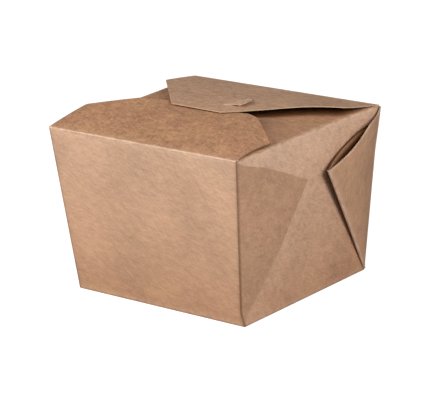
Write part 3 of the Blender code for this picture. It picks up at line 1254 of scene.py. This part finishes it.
@dataclass
class FlatWeb:
    """A corner web folded flat on the side wall, made by a geometry node tree.

    The tree lays a grid out as a fan from the foot of the corner: the outer leaf, the rolled
    fold and the inner leaf behind it, all following the bow of the wall.
    """

    form: CartonForm
    corner: Corner
    columns: int = 120
    rows: int = 40
    tone: PanelTone = PanelTone()

    def tree(self, material: bpy.types.Material) -> bpy.types.NodeTree:
        """The node tree that lays out a web, with this corner's sizes as its inputs' usual values.

        Args:
            material: The board's face.

        Returns:
            The tree.
        """
        group = Group("corner_web", "GeometryNodeTree")
        group.takes(Geometry=None, **self.inputs())
        wire, given, maths = group.wire, group.given, group.wire.maths

        sides = {"Size_X": 1.0, "Size_Y": 1.0}
        counts = {"Vertices_X": given("Columns"), "Vertices_Y": given("Rows")}
        grid = wire.result("GeometryNodeMeshGrid", **sides, **counts)
        on_grid = wire.split(wire.result("GeometryNodeInputPosition"))
        run, climb = on_grid[0] + 0.5, on_grid[1] + 0.5
        leaf, rolled, layer = given("Leaf Share"), given("Roll Share"), given("Layer")
        going = maths("MINIMUM", run / leaf, 1.0)
        coming = 1.0 - maths("MAXIMUM", (run - rolled) / (1.0 - rolled), 0.0)
        share = maths("MINIMUM", going, coming)
        rolling = maths("MAXIMUM", (run - leaf) / (rolled - leaf), 0.0)
        turn = maths("MINIMUM", rolling, 1.0) * math.pi

        angle = share * given("Fold Angle")
        offset = (angle - given("Dip At")) / given("Dip Reach")
        reach = given("Top Distance") / maths("COSINE", angle - given("Top Angle"))
        reach = reach - given("Dip") * maths("EXPONENT", -(offset * offset))
        distance = (reach - given("Start")) * climb + given("Start")

        cosine, sine = maths("COSINE", angle), maths("SINE", angle)
        beyond = layer * maths("SINE", turn)
        up_run = distance * cosine - beyond * sine
        inward = distance * sine + beyond * cosine
        across_run = inward + given("Inset") * (1.0 - share)
        upward = wire.scaled(given("Upward"), up_run)
        across = wire.scaled(given("Across"), across_run)
        _, y, z = wire.split(wire.added(given("Foot"), upward, across))

        height_share = z / given("Height")
        width, depth = (
            (given(f"Top Half {name}") - given(f"Base Half {name}")) * height_share
            + given(f"Base Half {name}")
            for name in ("Width", "Depth")
        )
        middle = y / depth
        grown = maths("MAXIMUM", height_share, 0.0) ** given("Bow Growth")
        bowed = given("Bow") * grown * (1.0 - middle * middle)
        fade = (1.0 - height_share) * wire.ranged(z, 0.0, given("Pinch Height"))
        near_front = wire.ranged(y + depth, 0.0, given("Pinch Reach"), 1.0, 0.0)
        wall = width - bowed - given("Pinch") * fade * near_front

        settled = wire.ranged(distance, 0.0, given("Settle"), given("Least Stand"), 1.0)
        outer = layer * 2.0 * settled * share + given("Lift")
        inner = given("Hidden") * (share - 1.0)
        stand = (outer - inner) * (maths("COSINE", turn) * 0.5 + 0.5) + inner
        x = given("Side") * (wall + stand)

        folded_back = maths("GREATER_THAN", turn, math.pi / 2)
        flat = wire.joined(across_run + folded_back * given("Back Map Shift"), up_run)
        kept = wire.result(
            "GeometryNodeStoreNamedAttribute",
            {"data_type": "FLOAT2", "domain": "CORNER"},
            Geometry=grid,
            Name=FLAT_MAP,
            Value=flat,
        )
        # Rubbing and a painted highlight along the fold, stronger towards the foot.
        gap = distance * (given("Fold Angle") - angle)
        rubbed_and_highlit = maths("MAXIMUM", maths("SINE", turn) ** 1.5, maths("EXPONENT", -gap / given("Rub Width")))
        low, high = given("Rub Low"), given("Rub High")
        rubbed_and_highlit = rubbed_and_highlit * wire.ranged(distance, low, high, given("Rub Foot"), 0.0)
        # Painted shade, with some crushed board, in the groove beside the corner; painted shade down the
        # web and beside its fold.
        groove_shade = wire.ranged(inward, 0.0, given("Groove"), given("Crease"), 0.0)
        shade = wire.ranged(distance, 0.0, given("Shade Reach"), given("Shade Foot"), given("Shade Top"))
        shade = shade + maths("EXPONENT", -gap / given("Fold Shade Reach")) * given("Fold Shade")
        for name, value in (
            (WEAR_AND_HIGHLIGHT, rubbed_and_highlit),
            (CREASE_AND_SHADE, maths("MAXIMUM", groove_shade, shade)),
            (PAINTED_SHEEN, given("Tone")),
            (GRIT, given("Grit")),
        ):
            kept = wire.result(
                "GeometryNodeStoreNamedAttribute",
                {"data_type": "FLOAT", "domain": "POINT"},
                Geometry=kept,
                Name=name,
                Value=value,
            )
        laid = wire.result("GeometryNodeSetPosition", Geometry=kept, Position=wire.joined(x, y, z))
        real = wire.result("GeometryNodeRealizeInstances", Geometry=laid)
        dressed = wire.result("GeometryNodeSetMaterial", Geometry=real, Material=material)
        group.gives("Geometry", dressed, "NodeSocketGeometry")
        return group.tree

    def inputs(self) -> dict[str, object]:
        """The tree's inputs for this corner, by name with _ for a space."""
        form, edge = self.form, self.form.web_edge
        side, _ = self.corner.value
        foot, upward, across, _ = form.corner_axes(self.corner)
        place = dict(Foot=foot, Upward=upward, Across=across, Side=float(side))
        fan = dict(Fold_Angle=form.web_angle, Start=1.5 * MM, Settle=14 * MM, Least_Stand=0.25)
        rim = dict(Top_Distance=edge.distance, Top_Angle=edge.angle, Dip=edge.dip)
        rim |= dict(Dip_At=edge.dip_at, Dip_Reach=edge.dip_reach)
        layers = dict(Layer=form.board, Hidden=0.5 * MM, Lift=0.05 * MM, Inset=form.fold_radius)
        layers |= dict(Leaf_Share=0.5, Roll_Share=0.64, Back_Map_Shift=0.2)
        tub = dict(Height=form.height)
        tub |= dict(Base_Half_Width=form.base_width / 2, Top_Half_Width=form.top_width / 2)
        tub |= dict(Base_Half_Depth=form.base_depth / 2, Top_Half_Depth=form.top_depth / 2)
        pinch = form.pinch if side > 0 else 0.0
        bent = dict(Bow=form.bow(side), Bow_Growth=form.bow_growth, Pinch=pinch)
        bent |= dict(Pinch_Height=form.pinch_height, Pinch_Reach=form.pinch_reach)
        wear = dict(Rub_Width=0.6 * MM, Rub_Low=20 * MM, Rub_High=55 * MM, Rub_Foot=0.9)
        shade = dict(Groove=1.2 * MM, Crease=0.35, Fold_Shade=0.1, Fold_Shade_Reach=8 * MM)
        shade |= dict(Shade_Reach=70 * MM, Shade_Foot=0.22, Shade_Top=0.12)
        look = dict(Tone=self.tone.web, Grit=self.tone.web_grit)
        grid = dict(Columns=self.columns, Rows=self.rows)
        return place | fan | rim | layers | tub | bent | wear | shade | look | grid

    def build(
        self, tree: bpy.types.NodeTree, materials: Sequence[bpy.types.Material]
    ) -> bpy.types.Object:
        """Runs the tree for this corner and gives the result its thickness.

        Args:
            tree: The shared node tree.
            materials: The face and the cut edge.

        Returns:
            The finished piece.
        """
        name = f"corner_web_{self.corner.name.lower()}"
        mesh = bpy.data.meshes.new(name)
        obj = bpy.data.objects.new(name, mesh)
        bpy.context.scene.collection.objects.link(obj)
        fan = obj.modifiers.new("Fan", "NODES")
        fan.node_group = tree
        values = {name.replace("_", " "): value for name, value in self.inputs().items()}
        for item in tree.interface.items_tree:
            if item.name in values:
                fan[item.identifier] = values[item.name]
        plain_mesh(obj)
        bm = bmesh.new()
        bm.from_mesh(obj.data)
        for face in bm.faces:
            face.material_index = 0
        old = obj.data
        bpy.data.objects.remove(obj)
        bpy.data.meshes.remove(old)
        bm = turned_out(bm, self.form.corner_axes(self.corner)[3])
        return board_object(name, bm, materials, self.form.board)


@dataclass
class SprungWeb:
    """The back right web, sprung open into a pocket.

    One sheet: round the corner from the back wall, the outer leaf, the round fold and the inner
    leaf, which lies against the side wall.
    """

    form: CartonForm
    name: str = "sprung_web_back_right"
    corner: Corner = Corner.BACK_RIGHT
    angle: float = math.radians(36.7)
    edge: WebEdge = WebEdge(75.0 * MM, math.radians(36), 7.9 * MM, 0.0, math.radians(9.5))
    inner_edge: WebEdge = WebEdge(
        73.9 * MM, math.radians(31), 3.3 * MM, math.radians(5), math.radians(7)
    )
    stand_off: float = 4.3 * MM
    stand_off_at: float = 76 * MM
    stand_off_growth: float = 0.7
    bulge: float = 0.057
    press_start: float = 0.6
    press_growth_low: float = 0.7
    press_growth_top: float = 1.6
    fold_radius: float = 0.8 * MM
    start: float = 2.0 * MM
    gap: float = 1.6 * MM
    spring: float = 1.0 * MM
    proud: float = 0.12 * MM
    wrap: float = 2.5 * MM
    wrap_steps: int = 6
    leaf_steps: int = 24
    fold_steps: int = 8
    rows: int = 34
    near_edge: Sequence[float] = (0.955, 0.975, 0.985, 0.992, 0.997)
    rim_shade: float = 1.0
    rim_band: tuple[float, float] = (1.8 * MM, 0.7 * MM)
    depth_shade: float = 0.95
    depth_span: tuple[float, float] = (-0.5 * MM, 4.5 * MM)
    spring_span: tuple[float, float] = (0.7, 1.0)
    press_span: tuple[float, float] = (0.75, 1.0)
    gap_span: tuple[float, float] = (0.6, 1.0)
    gap_growth: float = 0.7
    clearance: float = 0.05 * MM
    tone_span: tuple[float, float] = (0.8 * MM, 3 * MM)
    map_width: float = 50 * MM
    map_fold: float = 2 * MM
    map_step: float = 0.6 * MM
    fold_wear_and_highlight: float = 0.8
    rim_highlight: float = 1.0
    rim_highlight_span: tuple[float, float] = (0.984, 0.992)
    tone: PanelTone = PanelTone()

    def reach(self, share: float) -> float:
        """Distance from the foot to the outer leaf's free edge."""
        return self.edge.reach(share * self.form.web_angle)

    def inner_reach(self, share: float) -> float:
        """Distance from the foot to the inner leaf's free edge."""
        return self.inner_edge.reach(share * self.form.web_angle)

    def fold_off(self, distance: float) -> float:
        """How far the fold stands off the wall's plane, at a distance from the foot."""
        return self.stand_off * (distance / self.stand_off_at) ** self.stand_off_growth

    def spot(self, share: float, distance: float, off: float, beyond: float = 0.0) -> Vector:
        """A point on the web.

        Args:
            share: 0 at the corner's edge and 1 at the web's fold.
            distance: From the foot of the corner.
            off: Height over the wall's plane.
            beyond: How far past the ray, away from the corner.

        Returns:
            The point.
        """
        foot, upward, across, outward = self.form.corner_axes(self.corner)
        angle = share * self.angle
        ray = math.cos(angle) * upward + math.sin(angle) * across
        past = math.cos(angle) * across - math.sin(angle) * upward
        inset = self.form.fold_radius * (1 - share)
        return foot + distance * ray + inset * across + off * outward + beyond * past

    def outer_off(self, share: float, distance: float) -> float:
        """Height of the outer leaf's outer face."""
        bulge = self.bulge * distance * math.sin(math.pi * share)
        sprung = self.spring * smoothstep(*self.spring_span, distance / self.reach(share))
        corner = (self.proud + sprung) * (1 - share)
        return self.fold_off(distance) * share + bulge + self.fold_radius * share + corner

    def inner_off(self, share: float, distance: float) -> float:
        """Height of the inner leaf's face on the wall's side."""
        climb = distance / self.inner_reach(share)
        pressed = smoothstep(*self.press_span, climb)
        growth = lerp(self.press_growth_low, self.press_growth_top, pressed)
        swing = max(0.0, (share - self.press_start) / (1 - self.press_start))
        away = (self.fold_off(distance) - self.fold_radius) * swing**growth
        flat = self.spot(share, distance, 0.0)
        wall = self.form.wall_x(1, flat.y, flat.z) - flat.x
        lifted = self.gap * smoothstep(*self.gap_span, climb) * (1 - share) ** self.gap_growth
        laid = lerp(wall + lifted + self.clearance, 0.0, swing) + away
        return min(laid, self.outer_off(share, distance) - 2 * self.form.board)

    def round_corner(self, distance: float) -> list[Vector]:
        """Points from the back wall round the corner, up to where the outer leaf starts."""
        _, _, across, outward = self.form.corner_axes(self.corner)
        off = self.outer_off(0.0, distance) - self.proud
        radius = self.form.fold_radius
        centre = self.spot(0.0, distance, off - radius)
        line = [centre - across * (radius - self.proud) - outward * self.wrap]
        for step in range(self.wrap_steps):
            angle = math.pi / 2 * (1 - step / self.wrap_steps)
            turned = outward * math.cos(angle) - across * math.sin(angle)
            line.append(centre + turned * (radius + self.proud))
        return line

    def row(self, climb: float) -> tuple[list[Vector], list[tuple[float, float]], list[float]]:
        """The points, their places on the flat board and their rubbing and painted highlight, at a share
        of the height.
        """
        leaf = [i / self.leaf_steps for i in range(self.leaf_steps + 1)]
        distance = lerp(self.start, self.reach(0.0), climb)
        line = self.round_corner(distance)
        flat = [(distance, -self.map_step * (len(line) - i)) for i in range(len(line))]
        worn = [math.sin(math.pi * i / len(line)) for i in range(len(line))]
        for share in leaf:
            distance = lerp(self.start, self.reach(share), climb)
            line.append(self.spot(share, distance, self.outer_off(share, distance)))
            flat.append((distance, self.map_width * share))
            # Painted highlight on the outer leaf's rim.
            rim = self.rim_highlight * smoothstep(*self.rim_highlight_span, climb)
            worn.append(max(0.5 * smoothstep(0.93, 1.0, share), rim))
        distance = lerp(self.start, self.reach(1.0), climb)
        for step in range(1, self.fold_steps):
            turn = math.pi * step / self.fold_steps
            off = self.fold_off(distance) + self.fold_radius * math.cos(turn)
            line.append(self.spot(1.0, distance, off, self.fold_radius * math.sin(turn)))
            flat.append((distance, self.map_width + self.map_fold * step / self.fold_steps))
            worn.append(self.fold_wear_and_highlight)
        for share in reversed(leaf):
            distance = lerp(self.start, self.inner_reach(share), climb)
            line.append(self.spot(share, distance, self.inner_off(share, distance)))
            flat.append((distance, (2 - share) * self.map_width + self.map_fold))
            worn.append(0.0)
        return line, flat, worn

    def shade(self, climb: float, count: int) -> list[float]:
        """How dark a row of the web is: only its inner leaf is, at its rim and deep in the pocket.

        Args:
            climb: The row's share of the height.
            count: How many points the row has.

        Returns:
            The darkness of each point.
        """
        dark = [0.0] * (count - self.leaf_steps - 1)
        for i in range(self.leaf_steps + 1):
            share = 1 - i / self.leaf_steps
            below = (1 - climb) * self.inner_reach(share)
            rim = 1 - smoothstep(0.3, 1.0, below / lerp(*self.rim_band, share))
            deep = smoothstep(*self.depth_span, below)
            dark.append(max(self.rim_shade * rim, self.depth_shade * deep))
        return dark

    def build(self, materials: Sequence[bpy.types.Material]) -> bpy.types.Object:
        """Makes the web as one folded sheet.

        Args:
            materials: The face and the cut edge.

        Returns:
            The finished piece.
        """
        climbs = sorted({i / self.rows for i in range(self.rows + 1)} | set(self.near_edge))
        foot, _, across, outward = self.form.corner_axes(self.corner)

        def tone(place: Vector) -> float:
            """The back wall's tone where the web wraps round onto it, then the web's own."""
            share = smoothstep(*self.tone_span, (place - foot).dot(across))
            return lerp(self.tone.wall(self.form, place), self.tone.sprung_web, share)

        patch = Patch(tone, lambda place: self.tone.sprung_web_grit)
        for climb in climbs:
            points, flats, wear = self.row(climb)
            patch.add(points, flats, wear, self.shade(climb, len(points)))
        bm = turned_out(board_mesh([patch]), outward)
        return board_object(self.name, bm, materials, self.form.board)


@dataclass
class LockTab:
    """The half-moon head of the front flap's tongue, popped up through the back flap's slit."""

    form: CartonForm
    back: BackFlap
    name: str = "lock_tab"
    half_width: float = 17.8 * MM
    length: float = 21.5 * MM
    front_y: float = -1.0 * MM
    hinge_inset: float = 0.4 * MM
    pop_span: tuple[float, float] = (4.5 * MM, 8 * MM)
    lift: float = 1.1 * MM
    lift_span: tuple[float, float] = (9 * MM, 18 * MM)
    lift_fade: tuple[float, float] = (8 * MM, 16 * MM)
    sink: float = 0.5 * MM
    nick: float = 0.5 * MM
    nick_at: float = 16.6 * MM
    nick_half: float = 0.6 * MM
    nick_depth: float = 1.5 * MM
    map_shift: float = 0.15
    columns: int = 64
    rows: int = 28
    tone: PanelTone = PanelTone()

    def level(self, x: float, y: float) -> Vector:
        """A point on the head's upper face."""
        out = self.form.top_depth / 2 - self.hinge_inset - y
        back = y - self.front_y
        popped = smoothstep(*self.pop_span, x)
        lift = self.lift * smoothstep(*self.lift_span, x) * (1 - smoothstep(*self.lift_fade, back))
        nick = self.nick * math.exp(-(((x - self.nick_at) / self.nick_half) ** 2))
        level = lerp(-self.sink, self.form.board, popped)
        level += lift - nick * math.exp(-back / self.nick_depth)
        return Vector((x, y, self.back.height(x, out) + level))

    def build(self, materials: Sequence[bpy.types.Material]) -> bpy.types.Object:
        """Makes the head.

        Args:
            materials: The face and the cut edge.

        Returns:
            The finished piece.
        """
        patch = Patch(lambda place: self.tone.tab)
        shares = [2 * i / self.columns - 1 for i in range(self.columns + 1)]
        for row in range(self.rows + 1):
            along = math.sin(math.pi / 2 * row / self.rows)
            half = self.half_width * math.sqrt(max(0.0, 1 - along**2))
            y = self.front_y + self.length * along
            row = [self.level(share * half, y) for share in shares]
            patch.add(row, [(share * half, self.map_shift + y) for share in shares])
        bm = turned_out(board_mesh([patch]), Vector((0, 0, 1)))
        return board_object(self.name, bm, materials, self.form.board)


@dataclass(frozen=True)
class Softbox:
    """A square soft light, its azimuth taken from the front towards the right."""

    name: str
    azimuth: float
    elevation: float
    distance: float
    size: float
    power: float
    colour: tuple[float, float, float] = (1.0, 1.0, 1.0)

    def build(self, aim: Vector) -> bpy.types.Object:
        """Adds the light, aimed at a point."""
        data = bpy.data.lights.new(self.name, "AREA")
        data.size = self.size
        data.energy = self.power
        data.color = self.colour
        obj = bpy.data.objects.new(self.name, data)
        way = direction(self.azimuth, self.elevation)
        obj.location = aim + way * self.distance
        obj.rotation_euler = way.to_track_quat("Z", "Y").to_euler()
        bpy.context.scene.collection.objects.link(obj)
        return obj


def direction(azimuth: float, elevation: float) -> Vector:
    """The unit vector that points that way, with azimuth 0 at the front and 90 degrees at the right."""
    return Vector(
        (
            math.sin(azimuth) * math.cos(elevation),
            -math.cos(azimuth) * math.cos(elevation),
            math.sin(elevation),
        )
    )


@dataclass(frozen=True)
class Studio:
    """The floor, the lights and the camera."""

    camera_azimuth: float = math.radians(39.908)
    camera_elevation: float = math.radians(17.478)
    camera_roll: float = math.radians(-2.766)
    camera_distance: float = 1.173376
    camera_offset: tuple[float, float] = (-0.003765, 0.03878)
    focal_pixels: float = 2341.958
    image_width: int = 430
    sensor: float = 36.0
    softboxes: Sequence[Softbox] = (
        Softbox(
            "left_softbox", math.radians(-35), math.radians(28), 1.3, 0.6, 16.3, (1.0, 0.985, 0.95)
        ),
        Softbox("right_softbox", math.radians(70), math.radians(27), 1.3, 0.5, 14.0),
    )
    aim: tuple[float, float, float] = (0.0, 0.0, 0.06)
    world_strength: float = 0.09
    floor_tone: float = 0.35
    floor_lift: float = 0.9
    floor_half: float = 6.0

    def camera(self) -> bpy.types.Object:
        """The camera at the photograph's angle."""
        back = direction(self.camera_azimuth, self.camera_elevation)
        right = Vector((0, 0, 1)).cross(back).normalized()
        up = back.cross(right)
        roll = self.camera_roll
        turned_right = right * math.cos(roll) + up * math.sin(roll)
        turned_up = up * math.cos(roll) - right * math.sin(roll)
        across, upward = self.camera_offset
        place = turned_right * across + turned_up * upward + back * self.camera_distance
        data = bpy.data.cameras.new("camera")
        data.sensor_width = self.sensor
        data.lens = self.focal_pixels / self.image_width * self.sensor
        obj = bpy.data.objects.new("camera", data)
        matrix = Matrix((turned_right, turned_up, back)).transposed().to_4x4()
        matrix.translation = place
        obj.matrix_world = matrix
        bpy.context.scene.collection.objects.link(obj)
        bpy.context.scene.camera = obj
        return obj

    def floor(self) -> bpy.types.Object:
        """A plain pale floor."""
        bm = bmesh.new()
        bmesh.ops.create_grid(bm, x_segments=1, y_segments=1, size=self.floor_half)
        mesh = bpy.data.meshes.new("floor")
        bm.to_mesh(mesh)
        bm.free()
        material, wire, shader = new_material("pale_floor")
        tone = self.floor_tone
        shader.inputs["Base Color"].default_value = (tone, tone, tone, 1.0)
        shader.inputs["Roughness"].default_value = 0.9
        shader.inputs["Emission Color"].default_value = (1.0, 1.0, 1.0, 1.0)
        seen = wire.result("ShaderNodeLightPath", out="Is Camera Ray")
        wire.feed(shader.inputs["Emission Strength"], seen * self.floor_lift)
        mesh.materials.append(material)
        obj = bpy.data.objects.new("floor", mesh)
        obj.location.z = -0.01 * MM
        bpy.context.scene.collection.objects.link(obj)
        return obj

    def world(self) -> None:
        """Even white light all round."""
        world = bpy.data.worlds.new("studio")
        world.use_nodes = True
        background = world.node_tree.nodes["Background"]
        wire = Wiring(world.node_tree)
        seen = wire.result("ShaderNodeLightPath", out="Is Camera Ray")
        strength = wire.maths("MAXIMUM", seen, self.world_strength)
        wire.feed(background.inputs["Strength"], strength)
        background.inputs["Color"].default_value = (1.0, 1.0, 1.0, 1.0)
        bpy.context.scene.world = world

    def build(self) -> None:
        """Sets the whole studio up."""
        bpy.context.scene.view_settings.view_transform = "Standard"
        self.camera()
        self.floor()
        self.world()
        for softbox in self.softboxes:
            softbox.build(Vector(self.aim))


def main() -> None:
    """Builds the carton piece by piece, then the studio."""
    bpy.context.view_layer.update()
    form = CartonForm()
    effects = Effects(mottle_group(), fibre_group(), fold_wear_and_highlight_group())
    materials = (KRAFT_FACE.material(effects), KRAFT_EDGE.material(effects))
    attach(Blank(form).build(materials))
    flat_corners = (Corner.FRONT_RIGHT, Corner.FRONT_LEFT, Corner.BACK_LEFT)
    webs = [FlatWeb(form, corner) for corner in flat_corners]
    tree = webs[0].tree(materials[0])
    for web in webs:
        attach(web.build(tree, materials))
    attach(SprungWeb(form).build(materials))
    attach(LockTab(form, BackFlap(form)).build(materials))
    Studio().build()


if __name__ == "__main__":
    logging.basicConfig(level=logging.INFO, format="%(name)s %(message)s")
    main()
